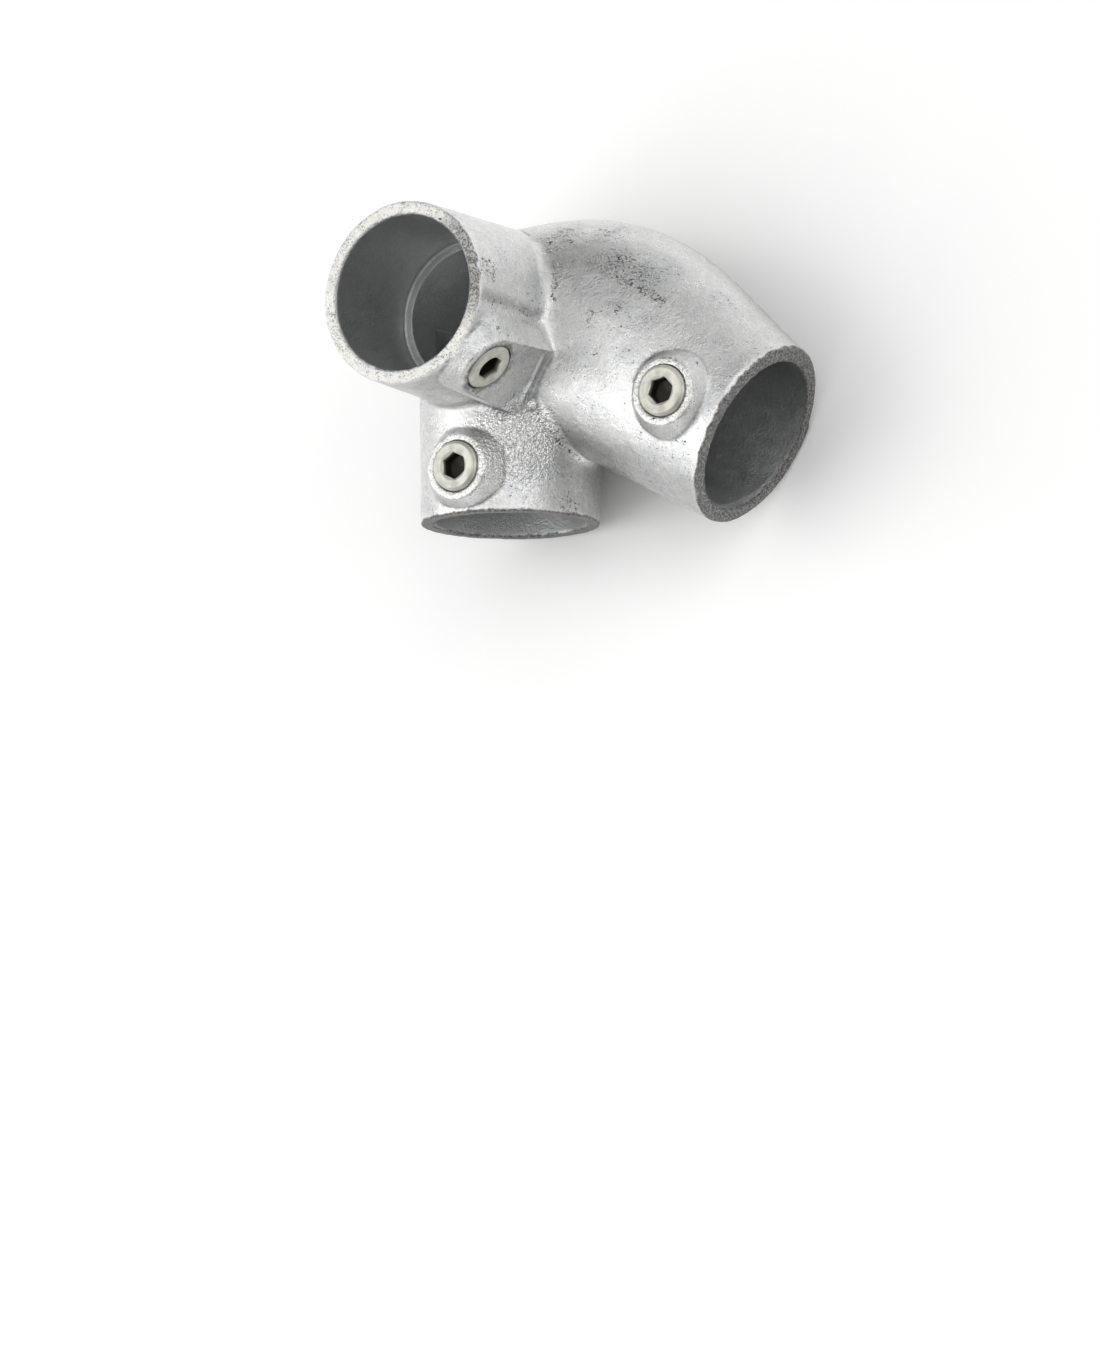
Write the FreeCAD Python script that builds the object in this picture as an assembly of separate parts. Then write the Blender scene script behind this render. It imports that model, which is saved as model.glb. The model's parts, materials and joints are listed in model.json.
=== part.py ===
import FreeCAD, Part
import math
import os

# Three-socket elbow tube clamp, in millimetres, lying on its back.
# The origin is the node centre, where the post and side socket axes cross.
# The post socket opens along -Y, the side socket along +Z, and the slope socket
# lies in the XY plane and opens to the right and down.

# Tube and bore
tube_r = 24.15
tube_clearance = 1.35
socket_wall = 4.6
mouth_chamfer = 0.8
rim_round = 0.9

# Post socket and the dome above it
post_reach = 67.2
post_swell = 0.8
dome_drop = 0.6

# Side socket, square to the post
side_reach = 68.0
side_draft = 2.0
stop_gap = 1.0
stop_ledge = 3.0

# Elbow and the slope socket, whose tube swings between two angles
slope_low = 30.0
slope_high = 45.0
slope_mouth_x = 93.9
slope_mouth_drop = 45.8
slope_depth = 42.0
slope_brow = 0.9
crown_height = 33.7
crown_bend_r = 82.0
throat_depth = 31.0
tail_run = 9.0
tail_inset = 3.4

# Screw bosses
boss_face_r = 11.0
boss_height = 4.7
boss_flank = 27.0
boss_round = 1.2
side_boss_height = 5.4
side_boss_draft = 4.0
side_boss_angle = 45.0

# Set screws and where they stand
screw_r = 8.33
screw_fit = 0.1
screw_length = 10.7
screw_chamfer = 0.9
tip_gap = 0.1
cup_r = 5.0
cup_depth = 1.6
hex_flats = 8.0
hex_depth = 5.2
hex_lead = 0.7
post_hex_turn = 34.0
side_hex_turn = 8.0
slope_hex_turn = 12.0
post_screw_inset = 15.0
side_screw_inset = 13.8
slope_screw_inset = 19.2
slope_screw_rise = 1.6

# Sizes that follow from the ones above
bore_r = tube_r + tube_clearance
socket_r = bore_r + socket_wall
passage_r = bore_r - stop_ledge
boss_face = socket_r + boss_height
screw_tip = bore_r + tip_gap
screw_hole_r = screw_r + screw_fit
overrun = socket_wall
wide_r = 2 * socket_r

# Counts
section_count = 7
section_points = 16
swing_count = 3
hex_sides = 6
full_turn = 360


def vec(x, y, z):
    return FreeCAD.Vector(x, y, z)


def down_slope(angle):
    """Unit vector that falls by the angle towards +X."""
    turn = math.radians(angle)
    return vec(math.cos(turn), -math.sin(turn), 0)


def up_slope_normal(angle):
    """Unit vector square to down_slope, pointing up."""
    turn = math.radians(angle)
    return vec(math.sin(turn), math.cos(turn), 0)


x_axis = vec(1, 0, 0)
z_axis = vec(0, 0, 1)
node = vec(0, 0, 0)
post_axis = vec(0, -1, 0)
slope_axis = down_slope(slope_low)
slope_rise = up_slope_normal(slope_low)
side_screw_axis = down_slope(side_boss_angle)
slope_mouth = vec(slope_mouth_x, -slope_mouth_drop, 0)

post_screw_at = post_axis * (post_reach - post_screw_inset)
side_screw_at = z_axis * (side_reach - side_screw_inset)
slope_screw_at = slope_mouth - slope_axis * slope_screw_inset + slope_rise * slope_screw_rise


def place(shape, origin, axis):
    """Move a shape built along +Z so that it stands at origin along axis."""
    turn = FreeCAD.Rotation(z_axis, axis)
    shape.Placement = FreeCAD.Placement(origin, turn)
    return shape


def rod(radius, start, end, origin, axis):
    """A cylinder on an axis between two distances from its origin."""
    shape = Part.makeCylinder(radius, end - start)
    return place(shape, origin + axis * start, axis)


def corner_edges(points):
    """Closed outline in the XZ plane; each point is (radius, height, corner round)."""
    tangents = []
    count = len(points)
    for index, (radius, height, rounding) in enumerate(points):
        here = vec(radius, 0, height)
        before = vec(points[index - 1][0], 0, points[index - 1][1])
        after = vec(points[(index + 1) % count][0], 0, points[(index + 1) % count][1])
        back = (before - here).normalize()
        ahead = (after - here).normalize()
        half = back.getAngle(ahead) / 2
        run = rounding / math.tan(half)
        middle = (back + ahead).normalize()
        crest = here + middle * (rounding / math.sin(half) - rounding)
        tangents.append((here + back * run, crest, here + ahead * run, rounding))
    edges = []
    for index, (entry, crest, leave, rounding) in enumerate(tangents):
        if rounding > 0:
            edges.append(Part.Arc(entry, crest, leave).toShape())
        edges.append(Part.makeLine(leave, tangents[(index + 1) % count][0]))
    return edges


def turned(points, origin, axis):
    """A solid of revolution from an outline of (radius, height, corner round)."""
    face = Part.Face(Part.Wire(corner_edges(points)))
    return place(face.revolve(node, z_axis, full_turn), origin, axis)


def post_body():
    """Post socket outside: slightly swelling towards the node, with a domed top."""
    root_r = socket_r + post_swell
    dome_base = crown_height - dome_drop - root_r
    outline = [
        (0, -dome_base, 0),
        (root_r, -dome_base, 0),
        (socket_r, post_reach, rim_round),
        (0, post_reach, 0),
    ]
    dome = Part.makeSphere(root_r, vec(0, dome_base, 0))
    return turned(outline, node, post_axis).fuse(dome)


def side_body():
    """Side socket outside, drafted away from its mouth."""
    root_r = socket_r + side_reach * math.tan(math.radians(side_draft))
    outline = [
        (0, 0, 0),
        (root_r, 0, 0),
        (socket_r, side_reach, rim_round),
        (0, side_reach, 0),
    ]
    return turned(outline, node, z_axis)


def slope_rim_half():
    """Half height of the slope mouth's rim, with room for the swinging tube."""
    swing = math.radians(slope_high - slope_low)
    return bore_r / math.cos(swing) + socket_wall


def crown_point(share):
    """Point on the elbow's top line: level, then an arc, then straight to the mouth."""
    end = slope_mouth + slope_rise * (slope_rim_half() + slope_brow)
    fall = math.radians(slope_high)
    corner = vec(end.x - (crown_height - end.y) / math.tan(fall), crown_height, 0)
    tangent = crown_bend_r * math.tan(fall / 2)
    level = corner.x - tangent
    arc = crown_bend_r * fall
    straight = (end - corner).Length - tangent
    run = share * (level + arc + straight)
    if run <= level:
        return vec(run, crown_height, 0)
    if run <= level + arc:
        turn = (run - level) / crown_bend_r
        centre = vec(level, crown_height - crown_bend_r, 0)
        return centre + vec(math.sin(turn), math.cos(turn), 0) * crown_bend_r
    return end - down_slope(slope_high) * (level + arc + straight - run)


def throat_point(share):
    """Point on the elbow's underside, a straight line from the node to the mouth."""
    start = vec(0, -throat_depth, 0)
    end = slope_mouth - slope_rise * slope_rim_half()
    return start + (end - start) * share


def oval(centre, rise, half_height, half_depth):
    """Smooth closed section about a centre, with its height along rise."""
    points = []
    for index in range(section_points):
        turn = 2 * math.pi * index / section_points
        up = rise * (half_height * math.cos(turn))
        points.append(centre + up + z_axis * (half_depth * math.sin(turn)))
    curve = Part.BSplineCurve()
    curve.interpolate(points, PeriodicFlag=True)
    return Part.Wire(curve.toShape())


def round_mouth(shape):
    """Round the outer edge of the slope socket's rim."""
    rim = []
    for edge in shape.Edges:
        ends = [(vertex.Point - slope_mouth).dot(slope_axis) for vertex in edge.Vertexes]
        if max(abs(end) for end in ends) < rim_round:
            rim.append(edge)
    return shape.makeFillet(rim_round, rim)


def elbow_body():
    """Elbow and slope socket outside, lofted through ovals from the node to the mouth."""
    sections = []
    for index in range(section_count):
        share = index / (section_count - 1)
        top = crown_point(share)
        foot = throat_point(share)
        rise = top - foot
        half = rise.Length / 2
        centre = (top + foot) / 2
        if index == 0:
            tail = centre - x_axis * tail_run
            sections.append(oval(tail, rise.normalize(), half - tail_inset, socket_r - tail_inset))
        else:
            sections.append(oval(centre, rise.normalize(), half, socket_r))
    return round_mouth(Part.makeLoft(sections, True))


def boss_sizes(height):
    """Start inside the wall, radius there, and the face's distance from the socket axis."""
    depth = height + socket_wall / 2
    base_r = boss_face_r + depth * math.tan(math.radians(boss_flank))
    face = socket_r + height
    return face - depth, base_r, face


def boss_body(height, origin, axis):
    """Round boss: a cone frustum from inside the wall up to a flat face."""
    start, base_r, face = boss_sizes(height)
    outline = [(0, start, 0), (base_r, start, 0), (boss_face_r, face, boss_round), (0, face, 0)]
    return turned(outline, origin, axis)


def pad_section(level):
    """Trapezium under the side boss face, wider and prouder the further below the screw."""
    across = up_slope_normal(side_boss_angle)
    below = side_screw_at.z - level
    widen = below * math.tan(math.radians(side_boss_draft))
    lean = below * math.tan(math.radians(side_draft))
    start, base_r, face = boss_sizes(side_boss_height)
    corners = [(-base_r, start), (base_r, start), (boss_face_r, face + lean), (-boss_face_r, face + lean)]
    points = []
    for offset, reach in corners:
        side = math.copysign(abs(offset) + widen, offset)
        points.append(side_screw_axis * reach + across * side + z_axis * level)
    return Part.makePolygon(points + points[:1])


def side_boss():
    """Side socket's boss: a round end at the mouth and a pad that runs down to the elbow."""
    pad = Part.makeLoft([pad_section(0), pad_section(side_screw_at.z)], True, True)
    round_end = boss_body(side_boss_height, side_screw_at, side_screw_axis)
    beyond_mouth = rod(wide_r, side_reach, side_reach + wide_r, node, z_axis)
    return pad.fuse(round_end).cut(beyond_mouth)


def mouth_lead(origin, axis, reach):
    """Chamfer that leads a tube into a round bore."""
    lead = Part.makeCone(bore_r, bore_r + mouth_chamfer, mouth_chamfer)
    return place(lead, origin + axis * (reach - mouth_chamfer), axis)


def slope_room():
    """Room for the sloping tube over its whole swing, down to one flat stop."""
    room = rod(bore_r, -2 * slope_depth, 2 * overrun, slope_mouth, slope_axis)
    for index in range(1, swing_count):
        angle = slope_low + (slope_high - slope_low) * index / (swing_count - 1)
        room = room.fuse(rod(bore_r, -2 * slope_depth, 2 * overrun, slope_mouth, down_slope(angle)))
    beyond_stop = rod(wide_r, -3 * slope_depth, -slope_depth, slope_mouth, slope_axis)
    return room.cut(beyond_stop)


def bend_passage():
    """Inner passage of the elbow: level from the node, then down to the slope socket."""
    middle = (slope_low + slope_high) / 2
    run = slope_mouth_drop / math.sin(math.radians(middle))
    bend = slope_mouth - down_slope(middle) * run
    return [
        rod(passage_r, -run, -slope_depth / 2, slope_mouth, down_slope(middle)),
        Part.makeSphere(passage_r, bend),
        rod(passage_r, 0, bend.x, node, x_axis),
    ]


def bores():
    """Tube bores, each with its stop, and the passages that join them in the node."""
    side_stop = bore_r + stop_gap
    return [
        rod(bore_r, 0, post_reach + overrun, node, post_axis),
        rod(bore_r, side_stop, side_reach + overrun, node, z_axis),
        rod(passage_r, 0, side_stop, node, z_axis),
        Part.makeSphere(passage_r, node),
        mouth_lead(node, post_axis, post_reach),
        mouth_lead(node, z_axis, side_reach),
        slope_room(),
    ] + bend_passage()


def screw_hole(origin, axis):
    """Plain hole on the thread's outside, from the bore out through the boss."""
    return rod(screw_hole_r, passage_r, boss_face + 2 * overrun, origin, axis)


def casting():
    """The whole casting: sockets, elbow and bosses, bored and drilled."""
    bodies = [
        side_body(),
        elbow_body(),
        boss_body(boss_height, post_screw_at, z_axis),
        boss_body(boss_height, slope_screw_at, z_axis),
        side_boss(),
    ]
    solid = post_body()
    for body in bodies:
        solid = solid.fuse(body)
    holes = [
        screw_hole(post_screw_at, z_axis),
        screw_hole(side_screw_at, side_screw_axis),
        screw_hole(slope_screw_at, z_axis),
    ]
    for tool in bores() + holes:
        solid = solid.cut(tool)
    return solid.removeSplitter()


def hex_key(hex_turn):
    """The key's hexagon, sunk from the screw's face, with a round lead."""
    corner_r = hex_flats / math.sqrt(3)
    corners = []
    for index in range(hex_sides + 1):
        turn = math.radians(hex_turn + full_turn * index / hex_sides)
        corners.append(vec(corner_r * math.cos(turn), corner_r * math.sin(turn), screw_length - hex_depth))
    key = Part.Face(Part.makePolygon(corners)).extrude(z_axis * hex_depth)
    lead = Part.makeCone(corner_r, corner_r + hex_lead, hex_lead, vec(0, 0, screw_length - hex_lead))
    return key.fuse(lead)


def set_screw(origin, axis, hex_turn):
    """Hex-socket set screw with a cup point, its tip just clear of the bore."""
    blank = [
        (0, cup_depth, 0),
        (cup_r, 0, 0),
        (screw_r - screw_chamfer, 0, 0),
        (screw_r, screw_chamfer, 0),
        (screw_r, screw_length - screw_chamfer, 0),
        (screw_r - screw_chamfer, screw_length, 0),
        (0, screw_length, 0),
    ]
    solid = turned(blank, node, z_axis).cut(hex_key(hex_turn))
    return place(solid, origin + axis * screw_tip, axis)


def main():
    os.makedirs("parts", exist_ok=True)
    pieces = {
        "clamp_casting": casting(),
        "post_screw": set_screw(post_screw_at, z_axis, post_hex_turn),
        "side_screw": set_screw(side_screw_at, side_screw_axis, side_hex_turn),
        "slope_screw": set_screw(slope_screw_at, z_axis, slope_hex_turn),
    }
    for name, shape in pieces.items():
        shape.exportStep("parts/" + name + ".step")
        box = shape.BoundBox
        print(name, shape.isValid(), len(shape.Solids), round(shape.Volume), box)


main()
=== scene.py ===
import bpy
import json
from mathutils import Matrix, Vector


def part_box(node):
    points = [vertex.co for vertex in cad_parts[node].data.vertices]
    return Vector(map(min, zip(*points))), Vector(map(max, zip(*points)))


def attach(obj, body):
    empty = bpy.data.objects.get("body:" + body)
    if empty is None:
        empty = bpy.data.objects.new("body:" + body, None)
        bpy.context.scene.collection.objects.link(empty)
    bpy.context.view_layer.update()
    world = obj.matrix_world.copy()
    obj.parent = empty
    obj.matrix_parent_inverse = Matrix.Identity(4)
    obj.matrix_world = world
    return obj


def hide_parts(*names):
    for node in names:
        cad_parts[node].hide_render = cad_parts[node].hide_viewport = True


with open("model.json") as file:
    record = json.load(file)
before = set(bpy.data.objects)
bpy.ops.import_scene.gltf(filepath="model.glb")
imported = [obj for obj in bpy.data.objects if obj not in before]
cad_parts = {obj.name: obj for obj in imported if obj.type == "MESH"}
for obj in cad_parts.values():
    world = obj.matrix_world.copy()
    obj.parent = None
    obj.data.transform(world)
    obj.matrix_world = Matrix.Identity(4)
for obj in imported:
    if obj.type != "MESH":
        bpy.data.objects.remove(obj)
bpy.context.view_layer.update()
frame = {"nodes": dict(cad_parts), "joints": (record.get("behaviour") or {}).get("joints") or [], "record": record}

import json
import math

import bpy
import numpy as np
from mathutils import Matrix, Vector, noise

mm = 0.001  # the clamp's sizes below are in millimetres
far = 999.0  # past every side of the clamp
scene = bpy.context.scene
scene.view_settings.view_transform = "Standard"
mounts = {mount["name"]: mount for mount in frame["record"]["mounts"]}
joints = {joint["child"]: joint for joint in frame["joints"]}
screwNodes = ("post_screw", "side_screw", "slope_screw")
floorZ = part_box("clamp_casting")[0].z  # the clamp lies on this, in metres

# the sockets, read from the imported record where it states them
sockets = {
    "boreR": mounts["post_socket"]["dims"]["r_mm"],
    "lead": 0.8,  # chamfer at the mouths
    "ledge": 3.0,  # how far the stops stand in from the bore
    "sideReach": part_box("clamp_casting")[1].z / mm,
    "slopeAhead": 20.0,  # slope mouth, ahead of its mount point
    "slopeSwing": 15.0,  # degrees between the two ends of the slope bore's swing
    "swingSteps": 4,
    "levelRun": 55.0,  # cored passage from the node towards the slope socket
    "slopeRun": (-75.0, 6.0),  # slope bore and its passage, measured from the mouth
    "boreSlack": 0.7,  # faces this far past the bore, or past the core, still count as inside
    "coreSlack": 0.9,
    "turnedIn": 0.3,  # a face whose outward share is below this looks at the axis
    "postSide": 36.0,  # the post's mouth lies to the left of this
}
sockets["postReach"] = mounts["post_socket"]["dims"]["length_mm"] + sockets["lead"]
slopeAxis = np.array(mounts["slope_socket"]["axis"])
slopeMouth = np.array(mounts["slope_socket"]["pos_m"]) / mm + slopeAxis * sockets["slopeAhead"]


def slopeLine(extraDegrees):  # axis of the slope bore, that much steeper
    turn = math.atan2(slopeAxis[1], slopeAxis[0]) - math.radians(extraDegrees)
    return np.array([math.cos(turn), math.sin(turn), 0.0])


def screwPlace(node):  # middle of a set screw and its outward axis, in millimetres
    low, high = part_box(node)
    return (low + high) / 2 / mm, Vector(joints[node]["axis"]).normalized()


def smoothStep(low, high, value):
    share = np.clip((value - low) / (high - low), 0, 1)
    return share * share * (3 - 2 * share)


def inBox(points, low, high):
    return ((points > np.array(low)) & (points < np.array(high))).all(axis=1)


def fromPoint(points, place):
    return np.linalg.norm(points - np.array(place), axis=1)


def fromLine(points, start, axis):  # distance from a line, and distance along it
    offset = points - np.array(start)
    along = offset @ np.array(axis)
    return np.linalg.norm(offset - along[:, None] * np.array(axis), axis=1), along


def fromPath(points, path):  # distance from a chain of straight runs
    away = np.full(len(points), np.inf)
    for start, end in zip(path[:-1], path[1:]):
        run = np.array(end) - np.array(start)
        share = np.clip((points - np.array(start)) @ run / (run @ run), 0, 1)
        foot = np.array(start) + share[:, None] * run
        away = np.minimum(away, np.linalg.norm(points - foot, axis=1))
    return away


def seatPath(points, path):  # the nearest points of the mesh
    return [points[np.argmin(fromPoint(points, place))] for place in path]


def waves(points, width, shift):  # smooth noise from -1 to 1
    return np.array([noise.noise(Vector(point)) for point in points / width + shift])


# casting: the CAD form, meshed finely, with cast fillets and a lumpy skin
skin = {
    "voxel": 0.5,
    "weld": 0.001,  # points this close are joined
    "triangles": 196000,
    "filletR": 3.0,
    "edgeR": 0.2,
    # other fillets: lowest and highest corner of where each lies, and its radius
    "fillets": (
        ((20, -28, 22), (far, far, far), 6.5),  # between the side socket and the elbow
        ((18, -far, 20), (far, -12, far), 2.2),  # beside the flat pad of the side screw
        ((15, -far, -far), (far, -30, 32), 9.0),  # between the post and the elbow
    ),
    # round the bosses: how far out from the screw, and the radius
    "bosses": {"post_screw": (18.0, 3.2), "side_screw": (10.0, 1.8), "slope_screw": (18.0, 3.2)},
    "bossDepth": 6.0,  # and how far down from the screw's middle
    "keepSharp": (9.5, 9.0),  # radius and depth round each screw's middle that no fillet reaches
    "brow": (6.0, 8.0, 2.8),  # top of the slope mouth: depth, height above its middle, radius
    "shoulder": ((-far, -20, -10), (20, far, 10), 25.0),  # side socket into the round of the node
    "shoulderOut": 27.0,  # from the side socket's axis
    "valleyBend": 0.12,  # sharp enough to be eased, in voxels
    "shoulderBend": 0.05,
    "easeReach": 9.0,  # how far from a sharp valley the fillet may grow
    "steps": 760,  # rounds of easing
    "pace": 0.85,  # share of the bend that each round takes away
    "slide": 0.05,  # share of the sideways pull that evens out the points
    # noises: height, width and where each is cut from
    "lump": (0.17, 10.0, 3.1),
    "ripple": (0.06, 3.6, 17.3),
    "grit": (0.10, 1.7, 29.7),  # rim faces
    "burr": (0.25, 2.2, 41.9),  # broken inner edge of the rims
    "ring": (0.09, 1.6, 53.3),  # boss faces
    "insideShare": 0.5,  # the bores are smoother
    "rimDepth": (0.2, 1.4),  # where the grit begins to fade and where it is gone
    "burrReach": (0.6, 2.0),  # out from the bore, likewise
    "bossFace": (10.5, 12.0),  # out from the screw's axis, likewise
    "bossTop": 2.0,  # boss faces lie further out than this from the screw's middle
    "seam": ((22.4, -34.7, 20.6), (25.2, -39.1, 17.0), (27.6, -43.6, 12.6), (29.7, -46.9, 6.3)),
    "seamHeight": 0.18,
    "lip": ((33.0, -18.2, 33.2), (26.8, -24.6, 29.8), (19.9, -31.7, 26.1)),  # ridge along the pad
    "lipHeight": 0.4,
    "ridgeWidth": (0.2, 1.3),
    "dip": ((29.8, -4.9, 64.0), (30.2, -5.3, 49.9), (30.7, -6.0, 33.2)),  # above the flat pad
    "dipDepth": 0.8,
    "dipReach": 5.0,
    "pimple": ((21.6, -31.5, 21.5), 1.5, 0.95),  # place, radius and height
    "holeR": 8.62,  # clear of the screw's crests
    "holeSpan": (-7.75, 6.0),  # along the screw, from its middle
}


def readPoints(mesh):
    points = np.empty(len(mesh.vertices) * 3, np.float32)
    mesh.vertices.foreach_get("co", points)
    return points.reshape(-1, 3).astype(float) / mm


def readEdges(mesh):
    edges = np.empty(len(mesh.edges) * 2, np.int32)
    mesh.edges.foreach_get("vertices", edges)
    return edges.reshape(-1, 2)


def readTriangles(mesh):
    mesh.calc_loop_triangles()
    triangles = np.empty(len(mesh.loop_triangles) * 3, np.int32)
    mesh.loop_triangles.foreach_get("vertices", triangles)
    return triangles.reshape(-1, 3)


def writePoints(mesh, points):
    mesh.vertices.foreach_set("co", (points * mm).astype(np.float32).ravel())
    mesh.update()


def areaNormals(points, triangles):  # larger faces weigh more, so flats stay flat up to their edges
    first, second, third = points[triangles[:, 0]], points[triangles[:, 1]], points[triangles[:, 2]]
    weighted = np.cross(second - first, third - first)
    normals = np.empty_like(points)
    for axis in range(3):
        normals[:, axis] = sum(
            np.bincount(triangles[:, corner], weighted[:, axis], len(points)) for corner in range(3)
        )
    return normals / np.clip(np.linalg.norm(normals, axis=1), 1e-12, None)[:, None]


def neighbourMean(values, edges):
    first, second = edges.T
    size = len(values)
    counts = np.clip(np.bincount(edges.ravel(), minlength=size), 1, None)
    columns = values.reshape(size, -1)
    total = np.empty_like(columns)
    for axis in range(columns.shape[1]):
        total[:, axis] = np.bincount(first, columns[second, axis], size)
        total[:, axis] += np.bincount(second, columns[first, axis], size)
    return (total / counts[:, None]).reshape(values.shape)


def squareGaps(points, edges):
    return ((points[edges[:, 0]] - points[edges[:, 1]]) ** 2).sum(axis=1)


def bendOf(points, normals, edges):  # above 0 in a valley, below 0 on an edge
    return ((neighbourMean(points, edges) - points) * normals).sum(axis=1)


def facesLine(points, normals, start, axis, limit):  # near a line and turned towards it
    offset = points - np.array(start)
    along = offset @ np.array(axis)
    radial = offset - along[:, None] * np.array(axis)
    reach = np.linalg.norm(radial, axis=1)
    outward = (radial * normals).sum(axis=1)
    return (reach < limit) & (outward < sockets["turnedIn"] * reach), along


def insideSockets(points, normals):  # true on the bores and the cored passages
    bore = sockets["boreR"] + sockets["boreSlack"]
    core = sockets["boreR"] - sockets["ledge"] + sockets["coreSlack"]
    node = (0, 0, 0)
    runs = [
        (node, (0, -1, 0), bore, -core, far),
        (node, (0, 0, 1), bore, -core, far),
        (node, (1, 0, 0), core, -core, sockets["levelRun"]),
    ]
    for extra in np.linspace(0, sockets["slopeSwing"], sockets["swingSteps"]):
        runs.append((slopeMouth, slopeLine(extra), bore, *sockets["slopeRun"]))
    found = np.zeros(len(points), bool)
    for start, axis, limit, low, high in runs:
        near, along = facesLine(points, normals, start, axis, limit)
        found |= near & (along > low) & (along < high)
    return found


def rimPlaces(points):  # depth behind each mouth's face and distance from its axis
    x, y, z = points.T
    swing = [fromLine(points, slopeMouth, slopeLine(extra))[0] for extra in (0, sockets["slopeSwing"])]
    return {
        "post": (np.where(x < sockets["postSide"], y + sockets["postReach"], far), np.hypot(x, z)),
        "side": (sockets["sideReach"] - z, np.hypot(x, y)),
        "slope": ((slopeMouth - points) @ slopeAxis, np.minimum(*swing)),
    }


def meshCasting():
    node = frame["nodes"]["clamp_casting"]
    blank = bpy.data.objects.new("castingBlank", node.data.copy())
    scene.collection.objects.link(blank)
    weld = blank.modifiers.new("weld", "WELD")
    weld.merge_threshold = skin["weld"] * mm
    remesh = blank.modifiers.new("remesh", "REMESH")
    remesh.mode = "VOXEL"
    remesh.voxel_size = skin["voxel"] * mm
    mesh = bpy.data.meshes.new_from_object(blank.evaluated_get(bpy.context.evaluated_depsgraph_get()))
    mesh.materials.clear()
    bpy.data.objects.remove(blank)
    return mesh


def easePart(points, triangles, edges, free, valleyR, edgeR):  # rounds valleys and edges to those radii
    spacing = squareGaps(points, edges).mean() / 4  # the bend along a fillet of radius 1
    for step in range(skin["steps"]):
        normals = areaNormals(points, triangles)
        pull = neighbourMean(points, edges) - points
        bend = (pull * normals).sum(axis=1)
        shift = np.clip(bend - spacing / valleyR, 0, None) + np.clip(bend + spacing / edgeR, None, 0)
        slide = pull - bend[:, None] * normals
        move = skin["pace"] * shift[:, None] * normals + skin["slide"] * slide
        points = points + free[:, None] * move
    return points


def softenCasting(mesh):
    points, edges, triangles = readPoints(mesh), readEdges(mesh), readTriangles(mesh)
    normals = areaNormals(points, triangles)
    inside = insideSockets(points, normals)
    x, y = points[:, 0], points[:, 1]
    valleyR = np.full(len(points), skin["filletR"])
    for low, high, radius in skin["fillets"]:
        valleyR[inBox(points, low, high)] = radius
    kept = inside.copy()
    sharpR, sharpDepth = skin["keepSharp"]
    for node in screwNodes:
        reach, along = fromLine(points, *screwPlace(node))
        width, radius = skin["bosses"][node]
        valleyR[(reach < width) & (along > -skin["bossDepth"])] = radius
        kept |= (reach < sharpR) & (along > -sharpDepth)
    depth, above, browR = skin["brow"]
    brow = (rimPlaces(points)["slope"][0] < depth) & (y > slopeMouth[1] + above) & ~inside
    edgeR = np.where(brow, browR, skin["edgeR"])
    low, high, shoulderR = skin["shoulder"]
    shoulder = inBox(points, low, high) & (np.hypot(x, y) > skin["shoulderOut"]) & ~inside
    valleyR[shoulder] = shoulderR
    edgeR[shoulder] = shoulderR

    # start from the sharp places and grow from there
    bend = bendOf(points, normals, edges)
    limit = skin["valleyBend"] * skin["voxel"]
    sharp = (bend > limit) | (brow & (bend < -limit))
    sharp |= shoulder & (np.abs(bend) > skin["shoulderBend"] * skin["voxel"])
    active = sharp & ~kept
    for ring in range(round(skin["easeReach"] / skin["voxel"])):
        grown = active[edges].any(axis=1)
        active[edges[grown].ravel()] = True
        active &= ~kept
    chosen = np.flatnonzero(active)
    number = np.full(len(points), -1)
    number[chosen] = np.arange(len(chosen))
    whole = active[edges].all(axis=1)
    partEdges = number[edges[whole]]
    partTriangles = number[triangles[active[triangles].all(axis=1)]]
    free = np.ones(len(chosen))
    free[number[edges[~whole & active[edges].any(axis=1)]].max(axis=1)] = 0  # the rim of the patch stays
    points[chosen] = easePart(
        points[chosen], partTriangles, partEdges, free, valleyR[chosen], edgeR[chosen]
    )
    writePoints(mesh, points)
    print("fillets eased over", len(chosen), "of", len(points), "points")


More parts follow.
